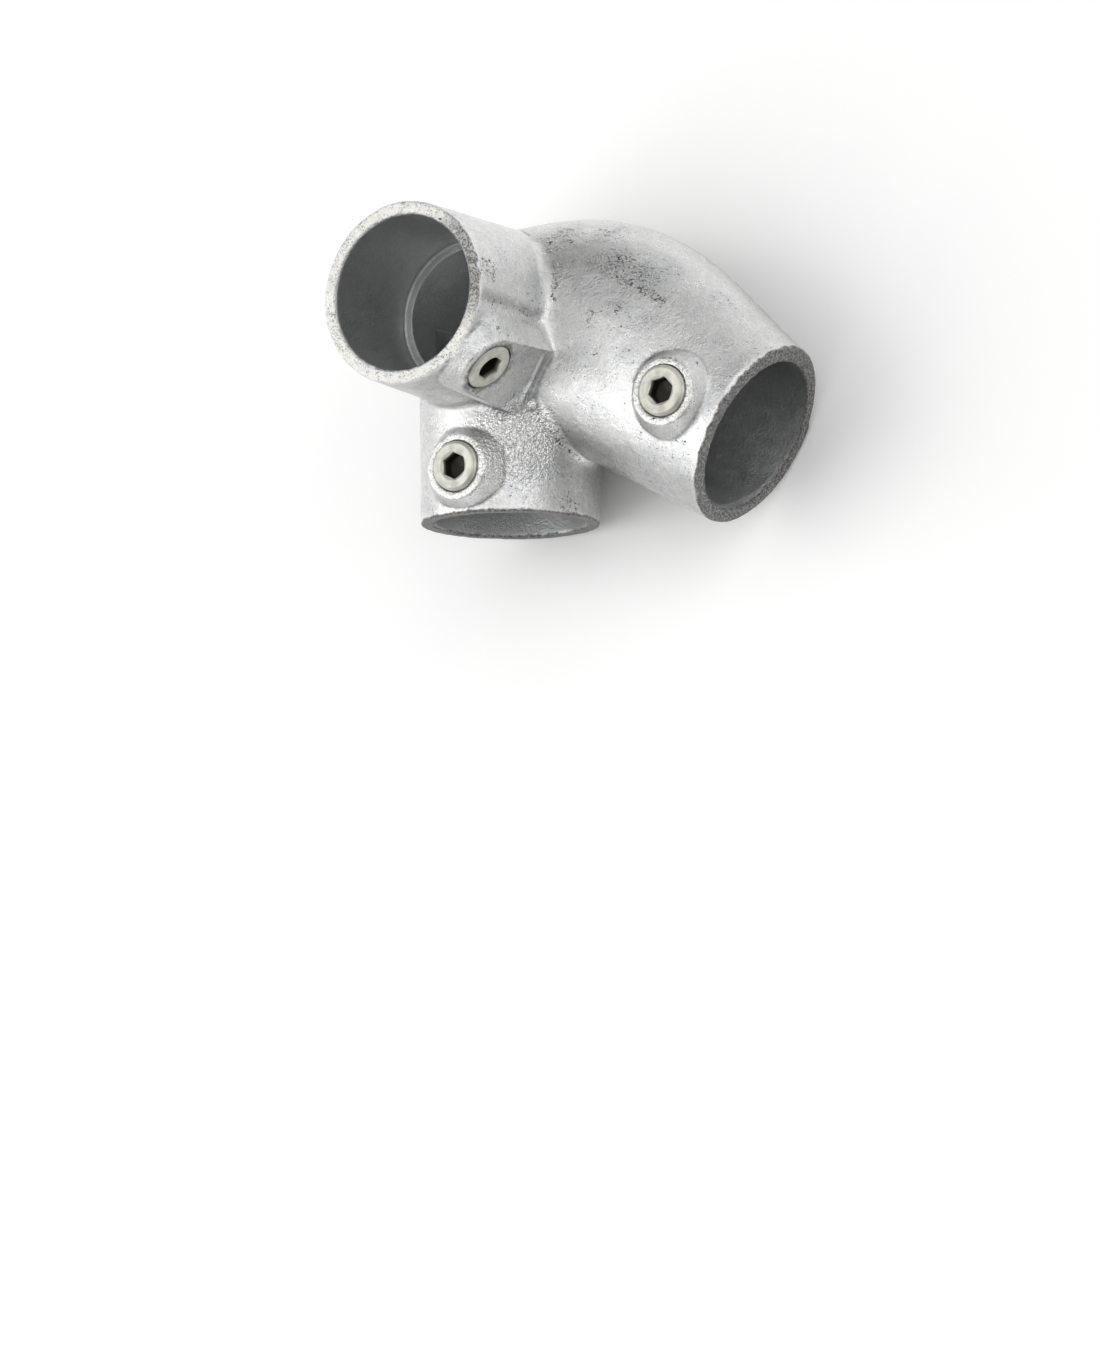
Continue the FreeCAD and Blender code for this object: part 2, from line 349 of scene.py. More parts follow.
def roughenCasting(mesh):
    points = readPoints(mesh)
    normals = areaNormals(points, readTriangles(mesh))
    inside = insideSockets(points, normals)
    lift = np.zeros(len(points))
    for name in ("lump", "ripple"):
        height, width, shift = skin[name]
        lift += height * waves(points, width, shift)
    lift[inside] *= skin["insideShare"]
    gritHeight, gritWidth, gritShift = skin["grit"]
    burrHeight, burrWidth, burrShift = skin["burr"]
    for name, (depth, reach) in rimPlaces(points).items():
        rim = np.flatnonzero(depth < skin["rimDepth"][1])
        onRim = 1 - smoothStep(*skin["rimDepth"], depth[rim])
        lift[rim] += onRim * gritHeight * waves(points[rim], gritWidth, gritShift)
        if name != "side":
            broken = np.clip(waves(points[rim], burrWidth, burrShift), 0, 1)
            inner = 1 - smoothStep(*skin["burrReach"], reach[rim] - sockets["boreR"])
            lift[rim] -= onRim * burrHeight * broken * inner
    height, width, shift = skin["ring"]
    for node in screwNodes:
        reach, along = fromLine(points, *screwPlace(node))
        face = np.flatnonzero((reach < skin["bossFace"][1]) & (along > skin["bossTop"]))
        onBoss = 1 - smoothStep(*skin["bossFace"], reach[face])
        lift[face] += onBoss * height * waves(points[face], width, shift)
    for name in ("seam", "lip"):
        away = fromPath(points, seatPath(points, skin[name]))
        lift += skin[name + "Height"] * (1 - smoothStep(*skin["ridgeWidth"], away))
    dip = fromPath(points, seatPath(points, skin["dip"])) / skin["dipReach"]
    lift -= skin["dipDepth"] * np.clip(1 - dip, 0, 1) ** 2 * ~inside
    place, radius, height = skin["pimple"]
    nearPimple = fromPoint(points, seatPath(points, [place])[0]) / radius
    lift += height * np.sqrt(np.clip(1 - nearPimple ** 2, 0, 1))
    points = points + lift[:, None] * normals
    for node in screwNodes:  # the holes stay round and clear of the screws
        middle, axis = screwPlace(node)
        reach, along = fromLine(points, middle, axis)
        low, high = skin["holeSpan"]
        wall = (reach < skin["holeR"]) & (along > low) & (along < high)
        foot = np.array(middle) + along[:, None] * np.array(axis)
        outward = (points - foot) / np.clip(reach, 1e-6, None)[:, None]
        points[wall] = (foot + outward * skin["holeR"])[wall]
    points[:, 2] = np.clip(points[:, 2], floorZ / mm, sockets["sideReach"])
    writePoints(mesh, points)
    print("casting roughened")


def thinCasting(casting):  # fewer triangles where the form is plain
    full = casting.data
    thin = casting.modifiers.new("thinCasting", "DECIMATE")
    thin.ratio = min(1.0, skin["triangles"] / len(readTriangles(full)))
    casting.data = bpy.data.meshes.new_from_object(
        casting.evaluated_get(bpy.context.evaluated_depsgraph_get())
    )
    casting.modifiers.remove(thin)
    bpy.data.meshes.remove(full)
    print("casting thinned to", len(readTriangles(casting.data)), "triangles")


# marks on the casting's points, which tell the zinc where its finish changes
marks = {
    "rimFade": 3.0,  # depth behind a mouth where its tone ends
    "sootTurn": (15.0, 20.0, 50.0),  # dark stretch of the side rim, in degrees: middle, full to, gone at
    "ringR": 20.0,  # radius round a screw where its ring mark is 1
    "ringDepth": 2.0,  # and how far down from the screw's middle it goes
    # pit clusters: place, radius and how thick they are
    "pits": (
        ((32, 23.5, 20), 9, 0.75), ((45, 24, 17), 7, 0.55), ((55, 12, 23.5), 8, 1.0),
        ((62, 7, 24), 6, 1.0), ((68, 0.4, 25.2), 3.5, 1.0), ((73, -3, 25.5), 3, 0.9),
        ((29.6, 5, 62), 6, 0.9), ((49, -8, 30), 6, 0.45), ((57, -6.5, 29), 5, 0.4),
        ((104, -22, 17), 7, 0.35), ((28.6, -64, 9), 7, 0.6), ((30, -42, 15), 6, 0.5),
        ((92, -64, 18), 8, 0.6), ((-24, -60, 15), 8, 0.4), ((10, 28, 10), 9, 0.3),
    ),
    "pitFade": (0.35, 1.25),  # in radii
    # pitted lines: path and how thick the pits are
    "crack": ((50.8, 9.5, 25.4), (56.5, 5.1, 26.1), (61.9, 3.3, 25.6), (66.7, 0.1, 25.6), (73.5, -3.9, 25.1)),
    "scratch": ((33.0, 14.3, 26.2), (34.4, 7.6, 28.4), (35.0, 0.7, 29.7)),  # beside the side socket
    "seam": skin["seam"],
    "dip": skin["dip"],
    "pitLines": {"crack": 1.2, "seam": 0.7, "scratch": 0.9, "dip": 0.5},
    "lineFade": (0.3, 2.4),
    "peel": ((17, -44, 25), 14.0),  # orange peel, strongest here
    "peelFade": (0.3, 1.6),  # in radii
    "creaseR": 2.0,  # a valley of this radius is marked 1
    "creaseRounds": 5,
    "creaseShare": 0.6,  # taken from the neighbours in each round
    "polished": ((20, -18, 22), (far, far, 35)),  # the line beside the side socket gets no painted shade and is painted lighter as a highlight
    "padTurn": (0.80, 0.95),  # how squarely a face looks along the side screw
    "padReach": 24.0,
    "dipShade": (0, 1.6, 0),  # the painted shade of the dip lies above it
    "dipWidth": 0.8,
    "dipShare": 0.9,
    "underTurn": (0.35, -0.3),  # how far up a face looks, and the heights where the painted shade of the underside ends
    "underLevel": (5.0, 20.0),
    "flankTurn": (0.45, 0.9),  # how squarely a face looks down from the slope socket, for its painted shade
}


def addMark(mesh, name, values):
    mark = mesh.attributes.new(name, "FLOAT", "POINT")
    mark.data.foreach_set("value", np.asarray(values, np.float32))


def pitMark(points):
    pits = np.zeros(len(points))
    low, high = marks["pitFade"]
    for place, radius, share in marks["pits"]:
        away = fromPoint(points, place)
        pits = np.maximum(pits, share * (1 - smoothStep(low * radius, high * radius, away)))
    for name, share in marks["pitLines"].items():
        away = fromPath(points, seatPath(points, marks[name]))
        pits = np.maximum(pits, share * (1 - smoothStep(*marks["lineFade"], away)))
    return pits


def creaseMark(points, normals, edges):
    size = len(points)
    around = np.bincount(edges.ravel(), np.repeat(squareGaps(points, edges), 2), size)
    around = around / np.bincount(edges.ravel(), minlength=size)
    crease = bendOf(points, normals, edges) / around * 4  # 1 over the valley's radius
    share = marks["creaseShare"]
    for step in range(marks["creaseRounds"]):
        crease = (1 - share) * crease + share * neighbourMean(crease, edges)
    # the line beside the side socket counts as an edge, so it is painted as a highlight
    polished = inBox(points, *marks["polished"])
    crease[polished] = -np.abs(crease[polished])
    return np.clip(crease * marks["creaseR"], -1, 1)


# painted shade: the flat pad, partly a duller finish, and the shaded side of the dip above it
def padMark(points, normals):
    middle, axis = screwPlace("side_screw")
    reach, along = fromLine(points, middle, axis)
    onPad = (along > -marks["ringDepth"]) * (reach < marks["padReach"])
    pad = smoothStep(*marks["padTurn"], normals @ np.array(axis)) * onPad
    shaded = seatPath(points, np.array(skin["dip"]) + marks["dipShade"])
    dip = 1 - smoothStep(0, marks["dipWidth"] * skin["dipReach"], fromPath(points, shaded))
    return np.maximum(pad, marks["dipShare"] * dip)


def markCasting(mesh):
    points, edges = readPoints(mesh), readEdges(mesh)
    normals = areaNormals(points, readTriangles(mesh))
    outside = 1 - insideSockets(points, normals).astype(float)
    addMark(mesh, "inside", 1 - outside)

    rims = rimPlaces(points)
    rawDepth = np.minimum(rims["post"][0], rims["slope"][0])
    # the post and slope mouth faces, painted dark as shade on a raw cast face
    addMark(mesh, "rawRim", np.clip(1 - rawDepth / marks["rimFade"], 0, 1))
    addMark(mesh, "paleRim", np.clip(1 - rims["side"][0] / marks["rimFade"], 0, 1))
    middle, full, gone = marks["sootTurn"]
    turned = np.abs(np.degrees(np.arctan2(points[:, 1], points[:, 0])) - middle)
    addMark(mesh, "sootRim", 1 - smoothStep(full, gone, turned))

    rings = {}
    for node in screwNodes:
        reach, along = fromLine(points, *screwPlace(node))
        rings[node] = np.where(along > -marks["ringDepth"], np.clip(reach / marks["ringR"], 0, 1), 1)
    addMark(mesh, "brightRing", np.minimum(rings["post_screw"], rings["slope_screw"]))
    addMark(mesh, "darkRing", rings["side_screw"])

    addMark(mesh, "pits", pitMark(points) * outside)
    place, radius = marks["peel"]
    low, high = marks["peelFade"]
    peel = 1 - smoothStep(low * radius, high * radius, fromPoint(points, place))
    addMark(mesh, "peel", peel * outside)
    addMark(mesh, "crease", creaseMark(points, normals, edges))
    addMark(mesh, "pad", padMark(points, normals) * outside)
    # painted shade on faces that turn down near the floor and on the slope socket's low flank
    under = smoothStep(*marks["underTurn"], normals[:, 2])
    under = under * (1 - smoothStep(*marks["underLevel"], points[:, 2]))
    lowSide = np.array([slopeAxis[1], -slopeAxis[0], 0])
    lowFlank = smoothStep(*marks["flankTurn"], normals @ lowSide)
    addMark(mesh, "under", np.maximum(under, lowFlank))
    mesh.shade_smooth()
    mesh.normals_split_custom_set_from_vertices(normals.astype(np.float32).tolist())


def buildCasting():
    mesh = meshCasting()
    softenCasting(mesh)
    roughenCasting(mesh)
    casting = bpy.data.objects.new("castingSkin", mesh)
    scene.collection.objects.link(casting)
    thinCasting(casting)
    markCasting(casting.data)
    return casting


# set screws: thread, chamfers, cup point and a hex key socket
screw = {
    "crestR": 8.33,
    "pitch": 1.337,
    "threadDepth": 0.62,
    "threadForm": 1.4,  # above 1 the crests are wider than the roots
    "edge": 0.9,  # chamfer at both ends
    "round": 0.1,  # broken edges of the face
    "hold": 0.2,  # rings this far from an edge keep the face flat
    "sinkR": 4.98,
    "sinkSlope": 0.75,
    "hexFlats": 8.0,
    "hexDepth": 5.2,
    "drillR": 3.2,
    "drillStep": 0.15,
    "drillDepth": 1.1,
    "cupR": 5.0,
    "cupRim": 0.4,
    "cupDepth": 1.6,
    "around": 96,
    "rows": 84,
    "sharpAngle": 33.0,  # degrees
    "hexTurn": {"post_screw": 34.0, "side_screw": 8.0, "slope_screw": 12.0},  # degrees
}


def screwRings(length, turns, hexR):  # radius and height of each ring, from the cup point to the drill cone
    half = length / 2
    flat = np.ones_like(turns)
    inner = screw["crestR"] - screw["edge"]
    rings = [(flat * screw["cupR"], flat * -half), (flat * (inner - screw["cupRim"]), flat * -half)]
    edge, hold = screw["round"], screw["hold"]
    for level in np.linspace(-half, half - edge, screw["rows"]):
        phase = 2 * math.pi * level / screw["pitch"] - turns
        groove = (0.5 - 0.5 * np.cos(phase)) ** screw["threadForm"]
        thread = screw["crestR"] - screw["threadDepth"] * groove
        cone = inner + min(half - abs(level), screw["edge"])
        rings.append((np.minimum(thread, cone), flat * level))
    sinkR, slope = screw["sinkR"], screw["sinkSlope"]
    for reach in (inner - edge, inner - edge - hold, sinkR + edge + hold, sinkR + edge):
        rings.append((flat * reach, flat * half))
    rings.append((flat * (sinkR - edge), flat * (half - edge * slope)))
    sunk = (sinkR - hexR) * slope
    rings.append((hexR, half - sunk))
    rings.append((hexR, flat * (half - screw["hexDepth"])))
    rings.append((flat * screw["drillR"], flat * (half - screw["hexDepth"] - screw["drillStep"])))
    return rings


def meshScrew(node, length):
    start = math.radians(screw["hexTurn"][node])
    around = screw["around"]
    turns = start + np.arange(around) * 2 * math.pi / around
    fromFlat = np.mod(turns - start, math.pi / 3) - math.pi / 6
    hexR = screw["hexFlats"] / 2 / np.cos(fromFlat)
    rings = screwRings(length, turns, hexR)
    points = []
    for reach, level in rings:
        points.extend(zip(reach * np.cos(turns), reach * np.sin(turns), level))
    faces = []
    for ring in range(len(rings) - 1):
        low, high = ring * around, (ring + 1) * around
        for step in range(around):
            after = (step + 1) % around
            faces.append((low + step, low + after, high + after, high + step))
    points.append((0, 0, -length / 2 + screw["cupDepth"]))
    points.append((0, 0, length / 2 - screw["hexDepth"] - screw["drillDepth"]))
    cup, drill = len(points) - 2, len(points) - 1
    last = (len(rings) - 1) * around
    for step in range(around):
        after = (step + 1) % around
        faces.append((cup, after, step))
        faces.append((drill, last + step, last + after))
    mesh = bpy.data.meshes.new(node + "Steel")
    mesh.from_pydata([tuple(float(part) * mm for part in point) for point in points], [], faces)
    mesh.shade_smooth()
    mesh.set_sharp_from_angle(angle=math.radians(screw["sharpAngle"]))
    return mesh


def buildScrew(node):
    low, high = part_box("post_screw")  # this one stands upright, so its box gives the length of all three
    mesh = meshScrew(node, (high.z - low.z) / mm)
    piece = bpy.data.objects.new(node + "Steel", mesh)
    scene.collection.objects.link(piece)
    middle, axis = screwPlace(node)
    turn = Vector((0, 0, 1)).rotation_difference(axis)
    piece.matrix_world = Matrix.Translation(middle * mm) @ turn.to_matrix().to_4x4()
    return piece


# small helpers for the node materials
def freshMaterial(name):
    material = bpy.data.materials.new(name)
    material.use_nodes = True
    return material, material.node_tree, material.node_tree.nodes["Principled BSDF"]


def addNode(tree, kind, inputs, **settings):
    node = tree.nodes.new("ShaderNode" + kind)
    for name, value in settings.items():
        setattr(node, name, value)
    for name, value in inputs.items():
        if isinstance(value, bpy.types.NodeSocket):
            tree.links.new(value, node.inputs[name])
        else:
            node.inputs[name].default_value = value
    return node


def calc(tree, operation, first, second):
    return addNode(tree, "Math", {0: first, 1: second}, operation=operation).outputs[0]


def add(tree, first, second):
    return calc(tree, "ADD", first, second)


def times(tree, first, second):
    return calc(tree, "MULTIPLY", first, second)


def ramp(tree, value, low, high, start=0.0, end=1.0):
    ends = {"Value": value, "From Min": low, "From Max": high, "To Min": start, "To Max": end}
    return addNode(tree, "MapRange", ends, interpolation_type="SMOOTHSTEP").outputs["Result"]


def spread(tree, cloud, start, end):  # over the usual range of a noise
    return ramp(tree, cloud, 0.3, 0.7, start, end)


def fade(tree, mark, start, end):  # as a mark goes from 0 to 1
    return ramp(tree, mark, 0.0, 1.0, start, end)


def tint(tree, share, first, second, how="MIX"):
    colours = {0: share, 6: first, 7: second}
    return addNode(tree, "Mix", colours, data_type="RGBA", blend_type=how).outputs[2]


def shadeBy(tree, colour, amount):  # 1 leaves the colour as it is
    return tint(tree, 1.0, colour, amount, "MULTIPLY")


def grain(tree, place, width, detail=2.0, rough=0.55):
    look = {"Vector": place, "Scale": 1 / (width * mm), "Detail": detail, "Roughness": rough}
    return addNode(tree, "TexNoise", look).outputs["Fac"]


def markOf(tree, name):
    return addNode(tree, "Attribute", {}, attribute_name=name).outputs["Fac"]


def placeOf(tree):
    return addNode(tree, "TexCoord", {}).outputs["Object"]


def addBump(tree, shader, height):  # height in millimetres
    bump = addNode(tree, "Bump", {"Height": height, "Distance": mm, "Strength": 1.0})
    tree.links.new(bump.outputs[0], shader.inputs["Normal"])


# galvanised skin; a range says where it starts and ends, then the values there if they aren't 0 and 1
zinc = {
    "pale": (0.79, 0.79, 0.775, 1),
    "blue": (0.66, 0.685, 0.71, 1),
    "pit": (0.07, 0.07, 0.074, 1),
    # post and slope mouth faces: raw cast, and painted dark as shade
    "rawRim": (0.10, 0.097, 0.093, 1),
    "paleRim": (0.90, 0.89, 0.85, 1),
    "ring": (0.74, 0.74, 0.72, 1),
    "dull": (0.44, 0.44, 0.43, 1),
    # the bores: painted shade, partly a duller finish
    "inside": (0.50, 0.51, 0.51, 1),
    "insideShare": 0.8,
    "patchWidth": 14.0,
    "patchRange": (0.42, 0.70),
    "patchShare": 0.6,  # how blue the patches get
    "mottleWidth": 2.4,
    "mottleShade": (0.92, 1.04),
    "grainWidth": 0.7,
    "grainShade": (-0.13, 0.06),
    "padShade": 0.74,  # how dark the painted shade makes the flat pad and the underside
    "underShade": 0.72,
    "dirtBend": (0.22, 0.9),  # how tight a valley is where the painted shade and dirt begin and where they are full
    "dirtRange": (0.3, 0.65, 0.15, 0.5),
    "wearBend": (-0.7, -0.1, 1.10, 1.0),  # edges are painted brighter, as highlight and wear
    "ragged": (-0.05, 0.05),  # uneven border of the boss faces
    "brightRing": (0.50, 0.58, 1.0, 0.0),
    "ringRange": (0.36, 0.54),
    "darkRing": (0.44, 0.54, 1.0, 0.0),
    "sootShare": 0.65,
    "frayed": (0.25, 0.75, -0.14, 0.14),  # uneven border of the rims
    "rawBorder": (0.62, 0.86),
    "rawRange": (0.35, 0.75),
    "paleBorder": (0.80, 0.95),
    "speckShade": (-0.12, 0.08),
    "speckRange": (0.29, 0.50),
    "sootRange": (0.40, 0.62, 0.9, 0.45),
    "pitThick": 0.25,
    "pitPatch": (0.2, 0.9, -0.04, 0.06),
    "pitSoot": 0.1,
    "pitRange": (0.35, 0.6, 0.5, 1.0),
    "dashWidth": 2.6,
    "dashShort": 0.6,  # width of the short dashes, as a share of the long ones'
    "dashTilt": (0.3, 0.2),
    "dashTurns": (0.6, -0.5),  # the long ones and the short ones
    "dashStretch": (1, 1.5, 1.2),
    "dashLine": (0.02, 0.048, 1.0, 0.0),
    "dashGap": 0.7,
    "dashRange": (0.65, 0.70),
    "roughWidth": 5.0,
    "rough": (0.23, 0.37),
    "roughMatt": 0.3,
    "roughPit": 0.15,
    "paleMatt": 0.8,
    "peelWidth": 1.0,
    "peelGloss": 0.5,
    "peelHeight": (0.06, 0.95),
    "metallic": 0.93,
    "mattMetal": 0.45,  # how much less metallic the raw rims are
    "grainHeight": (0.22, 0.34),
    "mottleHeight": 0.15,
    "pitDepth": 0.2,
}


def dashMask(tree, place, width, turn, thick):  # contour lines of a noise, broken into short dashes
    moved = {"Vector": place, "Rotation": (*zinc["dashTilt"], turn), "Scale": zinc["dashStretch"]}
    lying = addNode(tree, "Mapping", moved).outputs[0]
    level = calc(tree, "SUBTRACT", grain(tree, lying, width, detail=1.0), 0.5)  # from the noise's middle
    line = ramp(tree, calc(tree, "ABSOLUTE", level, 0.0), *zinc["dashLine"])
    gaps = add(tree, grain(tree, lying, width * zinc["dashGap"], detail=2.0), thick)
    return times(tree, line, ramp(tree, gaps, *zinc["dashRange"]))


def galvanise():
    material, tree, shader = freshMaterial("galvanisedZinc")
    place = placeOf(tree)
    patch = ramp(tree, grain(tree, place, zinc["patchWidth"], detail=4.0, rough=0.6), *zinc["patchRange"])
    mottle = grain(tree, place, zinc["mottleWidth"], detail=4.0, rough=0.6)
    fine = grain(tree, place, zinc["grainWidth"], detail=3.0, rough=0.65)
    colour = tint(tree, times(tree, patch, zinc["patchShare"]), zinc["pale"], zinc["blue"])
    shade = add(tree, spread(tree, mottle, *zinc["mottleShade"]), spread(tree, fine, *zinc["grainShade"]))
    colour = shadeBy(tree, colour, shade)
    # painted shade on the flat pad and the undersides
    for name in ("pad", "under"):
        colour = shadeBy(tree, colour, fade(tree, markOf(tree, name), 1.0, zinc[name + "Shade"]))
    # painted shade, partly dirt, darkens the valleys; painted highlight, partly wear, lightens the edges, and the
    # line beside the side socket is a painted highlight only
    bend = markOf(tree, "crease")
    dirtAndShade = times(tree, ramp(tree, bend, *zinc["dirtBend"]), ramp(tree, mottle, *zinc["dirtRange"]))
    wearAndHighlight = ramp(tree, bend, *zinc["wearBend"])
    colour = shadeBy(tree, colour, calc(tree, "SUBTRACT", wearAndHighlight, dirtAndShade))
    # the bores are painted darker as shade, partly as a duller finish
    inside = markOf(tree, "inside")
    colour = tint(tree, times(tree, inside, zinc["insideShare"]), colour, zinc["inside"])

    # boss faces round the screws
    ragged = spread(tree, mottle, *zinc["ragged"])
    bright = ramp(tree, add(tree, markOf(tree, "brightRing"), ragged), *zinc["brightRing"])
    # darker round the side screw's hole
    darkAround = ramp(tree, add(tree, markOf(tree, "darkRing"), ragged), *zinc["darkRing"])
    ringTone = tint(tree, ramp(tree, fine, *zinc["ringRange"]), zinc["dull"], zinc["ring"])
    colour = tint(tree, bright, colour, ringTone)
    colour = tint(tree, times(tree, darkAround, zinc["sootShare"]), colour, zinc["pit"])

    # cast faces of the mouths; the post and slope faces are raw cast and painted almost black as shade
    frayed = ramp(tree, mottle, *zinc["frayed"])
    raw = ramp(tree, add(tree, markOf(tree, "rawRim"), frayed), *zinc["rawBorder"])
    pale = ramp(tree, add(tree, markOf(tree, "paleRim"), frayed), *zinc["paleBorder"])
    rawShadedTone = tint(tree, ramp(tree, fine, *zinc["rawRange"]), zinc["rawRim"], zinc["dull"])
    speck = add(tree, fine, spread(tree, mottle, *zinc["speckShade"]))
    paleTone = tint(tree, ramp(tree, speck, *zinc["speckRange"]), zinc["dull"], zinc["paleRim"])
    # a stretch of the side rim is darker
    darkStretch = times(tree, markOf(tree, "sootRim"), ramp(tree, speck, *zinc["sootRange"]))
    paleTone = tint(tree, darkStretch, paleTone, zinc["rawRim"])
    colour = tint(tree, raw, colour, rawShadedTone)
    colour = tint(tree, pale, colour, paleTone)

    # flecks and pits, thick in some places
    thick = times(tree, markOf(tree, "pits"), zinc["pitThick"])
    thick = add(tree, thick, ramp(tree, patch, *zinc["pitPatch"]))
    thick = add(tree, thick, times(tree, darkAround, zinc["pitSoot"]))
    longTurn, shortTurn = zinc["dashTurns"]
    long = dashMask(tree, place, zinc["dashWidth"], longTurn, thick)
    short = dashMask(tree, place, zinc["dashWidth"] * zinc["dashShort"], shortTurn, thick)
    pits = times(tree, calc(tree, "MAXIMUM", long, short), ramp(tree, mottle, *zinc["pitRange"]))
    pits = times(tree, pits, calc(tree, "SUBTRACT", 1.0, inside))
    colour = tint(tree, pits, colour, zinc["pit"])
    tree.links.new(colour, shader.inputs["Base Color"])

    # gloss: the orange peel is shinier, the rims and pits are duller
    peeled = markOf(tree, "peel")
    matt = calc(tree, "MAXIMUM", raw, times(tree, pale, zinc["paleMatt"]))
    rough = spread(tree, grain(tree, place, zinc["roughWidth"], detail=4.0), *zinc["rough"])
    rough = times(tree, rough, fade(tree, peeled, 1.0, zinc["peelGloss"]))
    rough = add(tree, rough, times(tree, matt, zinc["roughMatt"]))
    rough = add(tree, rough, times(tree, calc(tree, "MAXIMUM", pits, inside), zinc["roughPit"]))
    tree.links.new(rough, shader.inputs["Roughness"])
    metal = calc(tree, "SUBTRACT", zinc["metallic"], times(tree, matt, zinc["mattMetal"]))
    tree.links.new(metal, shader.inputs["Metallic"])

    # relief finer than the mesh
    height = times(tree, fine, fade(tree, matt, *zinc["grainHeight"]))
    height = add(tree, height, times(tree, mottle, zinc["mottleHeight"]))
    peel = grain(tree, place, zinc["peelWidth"], detail=1.0)
    height = add(tree, height, times(tree, peel, fade(tree, peeled, *zinc["peelHeight"])))
    height = calc(tree, "SUBTRACT", height, times(tree, pits, zinc["pitDepth"]))
    addBump(tree, shader, height)
    return material


# coated steel of the screws
coat = {
    "cream": (0.66, 0.65, 0.57, 1),
    "grey": (0.52, 0.515, 0.475, 1),
    "smear": (0.30, 0.29, 0.26, 1),
    "hollow": (0.03, 0.027, 0.02, 1),  # painted shade inside the key socket
    "hollowTop": 5.0,  # heights above the screw's middle where the painted shade begins and where it is full
    "hollowLow": 2.8,
    "hollowR": 4.7,
    "cloudWidth": 3.5,
    "cloudRange": (0.42, 0.68),
    "grainWidth": 0.5,
    "smearRange": (0.60, 0.72),
    "smearShare": 0.5,
    "metallic": 0.45,
    "rough": (0.34, 0.5),
    "turnWidth": 0.45,  # turning marks
    "turnHeight": 0.012,
    "grainHeight": 0.025,
}


def coatSteel():
    material, tree, shader = freshMaterial("coatedSteel")
    place = placeOf(tree)
    cloud = grain(tree, place, coat["cloudWidth"], detail=3.0)
    fine = grain(tree, place, coat["grainWidth"], detail=3.0)
    colour = tint(tree, ramp(tree, cloud, *coat["cloudRange"]), coat["cream"], coat["grey"])
    smear = times(tree, ramp(tree, fine, *coat["smearRange"]), coat["smearShare"])
    colour = tint(tree, smear, colour, coat["smear"])
    level = addNode(tree, "SeparateXYZ", {0: place}).outputs["Z"]
    flat = addNode(tree, "VectorMath", {0: place, 1: (1, 1, 0)}, operation="MULTIPLY").outputs[0]
    reach = addNode(tree, "VectorMath", {0: flat}, operation="LENGTH").outputs["Value"]
    # painted shade, darker deeper in the key socket; it also reaches the middle of the cup point
    socketShade = ramp(tree, level, coat["hollowLow"] * mm, coat["hollowTop"] * mm, 1.0, 0.0)
    socketShade = times(tree, socketShade, calc(tree, "LESS_THAN", reach, coat["hollowR"] * mm))
    colour = tint(tree, socketShade, colour, coat["hollow"])
    tree.links.new(colour, shader.inputs["Base Color"])
    shader.inputs["Metallic"].default_value = coat["metallic"]
    tree.links.new(spread(tree, cloud, *coat["rough"]), shader.inputs["Roughness"])
    wave = 1 / (coat["turnWidth"] * mm) / 20  # the node's phase grows by 20 to a unit
    look = {"Vector": place, "Scale": wave, "Distortion": 1.5, "Detail": 2.0}
    turned = addNode(tree, "TexWave", look, wave_type="RINGS", rings_direction="Z").outputs["Fac"]
    height = times(tree, turned, coat["turnHeight"])
    addBump(tree, shader, add(tree, height, times(tree, fine, coat["grainHeight"])))
    return material


# floor, light and camera, in metres
studio = {
    "floorSize": 8.0,
    "floorPale": (0.965, 0.965, 0.96, 1),
    "floorGrey": (0.95, 0.95, 0.952, 1),
    "floorCloud": 90.0,  # width of the paper's faint clouds, in millimetres
    "floorRange": (0.4, 0.7),
    "floorSeen": 1.14,  # how much whiter the paper looks than it lights
    "keyFrom": (-0.72, -0.17, 0.67),
    "keyAway": 1.7,
    "keySize": 1.8,
    "keyPower": 12.2,
    "cardFrom": (0.75, 0.18, 0.64),
    "cardAway": 1.6,
    "cardSize": 1.3,
    "cardPower": 4.1,
    "roomLow": 0.34,  # the room at floor height and overhead
    "roomTop": 0.88,
    "roomHeight": 0.8,
    # gaps in the white tent: which way, how much dimmer, and the cosine where each starts
    "gaps": (
        ((-0.46, 0.78, 0.42), 0.60, 0.84),
        ((0.55, -0.70, 0.45), 0.45, 0.60),
        ((-0.88, -0.47, 0.05), 0.25, 0.90),
        ((0.97, 0.20, 0.10), 0.25, 0.90),
    ),
    "backdrop": 0.97,
    "horizon": 0.08,  # height of the backdrop that the metal shows
}
photoCamera = {
    "place": (0.75405, -0.30222, 1.23219),
    "right": (0.85771, 0.0, -0.51414),
    "up": (0.06480, 0.99203, 0.10809),
    "lens": 115.8,  # on the 36 mm long side
    "clipEnd": 50,
}


def addCamera():
    data = bpy.data.cameras.new("photoCamera")
    data.lens = photoCamera["lens"]
    data.clip_end = photoCamera["clipEnd"]
    camera = bpy.data.objects.new("photoCamera", data)
    scene.collection.objects.link(camera)
    right, up = Vector(photoCamera["right"]), Vector(photoCamera["up"])
    turn = Matrix((right, up, right.cross(up))).transposed()
    camera.matrix_world = Matrix.Translation(photoCamera["place"]) @ turn.to_4x4()
    scene.camera = camera


def paintFloor():
    material, tree, shader = freshMaterial("floorPaper")
    cloud = grain(tree, placeOf(tree), studio["floorCloud"], detail=3.0)
    colour = tint(tree, ramp(tree, cloud, *studio["floorRange"]), studio["floorPale"], studio["floorGrey"])
    ray = addNode(tree, "LightPath", {}).outputs
    seen = calc(tree, "MAXIMUM", ray["Is Camera Ray"], ray["Is Glossy Ray"])
    whiter = shadeBy(tree, colour, fade(tree, seen, 1.0, studio["floorSeen"]))
    paper = addNode(tree, "BsdfDiffuse", {"Color": whiter}).outputs[0]
    tree.links.new(paper, tree.nodes["Material Output"].inputs["Surface"])
    tree.nodes.remove(shader)
    return material


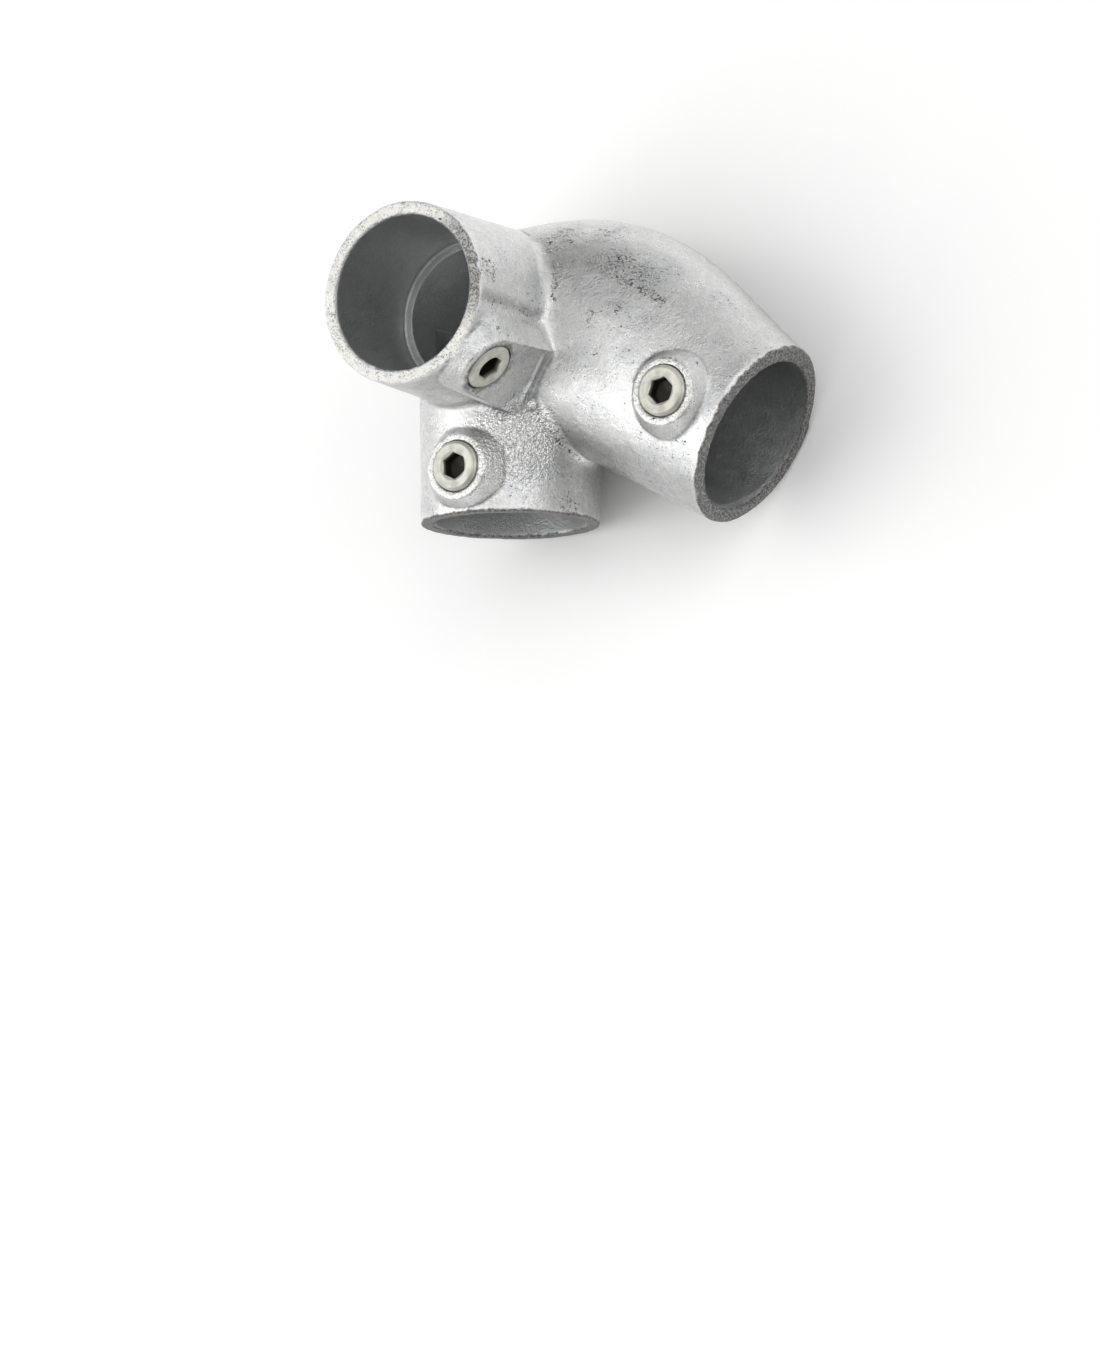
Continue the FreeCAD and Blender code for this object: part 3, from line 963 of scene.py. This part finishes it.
def addFloor():
    half = studio["floorSize"] / 2
    mesh = bpy.data.meshes.new("floor")
    corners = [(-half, -half), (half, -half), (half, half), (-half, half)]
    mesh.from_pydata([(x, y, floorZ) for x, y in corners], [], [(0, 1, 2, 3)])
    mesh.materials.append(paintFloor())
    floor = bpy.data.objects.new("floor", mesh)
    scene.collection.objects.link(floor)


def addSoftbox(name, part):
    data = bpy.data.lights.new(name, "AREA")
    data.size = studio[part + "Size"]
    data.energy = studio[part + "Power"]
    softbox = bpy.data.objects.new(name, data)
    scene.collection.objects.link(softbox)
    towards = Vector(studio[part + "From"]).normalized()
    turn = towards.to_track_quat("Z", "Y").to_matrix().to_4x4()
    softbox.matrix_world = Matrix.Translation(towards * studio[part + "Away"]) @ turn


def lightRoom():
    world = bpy.data.worlds.new("studioRoom")
    scene.world = world
    world.use_nodes = True
    tree = world.node_tree
    way = addNode(tree, "TexCoord", {}).outputs["Generated"]
    height = addNode(tree, "SeparateXYZ", {0: way}).outputs["Z"]
    room = ramp(tree, height, 0.0, studio["roomHeight"], studio["roomLow"], studio["roomTop"])
    for side, depth, edge in studio["gaps"]:
        ways = {0: way, 1: Vector(side).normalized()}
        towards = addNode(tree, "VectorMath", ways, operation="DOT_PRODUCT").outputs["Value"]
        room = calc(tree, "SUBTRACT", room, ramp(tree, towards, edge, 1.0, 0.0, depth))
    ray = addNode(tree, "LightPath", {}).outputs
    low = ramp(tree, height, 0.0, studio["horizon"], 1.0, 0.0)
    mirrored = times(tree, ray["Is Glossy Ray"], low)
    seen = {0: calc(tree, "MAXIMUM", ray["Is Camera Ray"], mirrored), 2: room, 3: studio["backdrop"]}
    strength = addNode(tree, "Mix", seen, data_type="FLOAT").outputs[0]
    tree.links.new(strength, tree.nodes["Background"].inputs["Strength"])
    tree.nodes["Background"].inputs["Color"].default_value = (1, 1, 1, 1)


casting = buildCasting()
casting.data.materials.append(galvanise())
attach(casting, "casting")
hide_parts("clamp_casting")
print("casting done")

steel = coatSteel()
for node in screwNodes:
    piece = buildScrew(node)
    piece.data.materials.append(steel)
    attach(piece, node)
    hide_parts(node)
print("set screws done")

addCamera()
addFloor()
addSoftbox("keySoftbox", "key")
addSoftbox("whiteCard", "card")
lightRoom()
print("studio done")
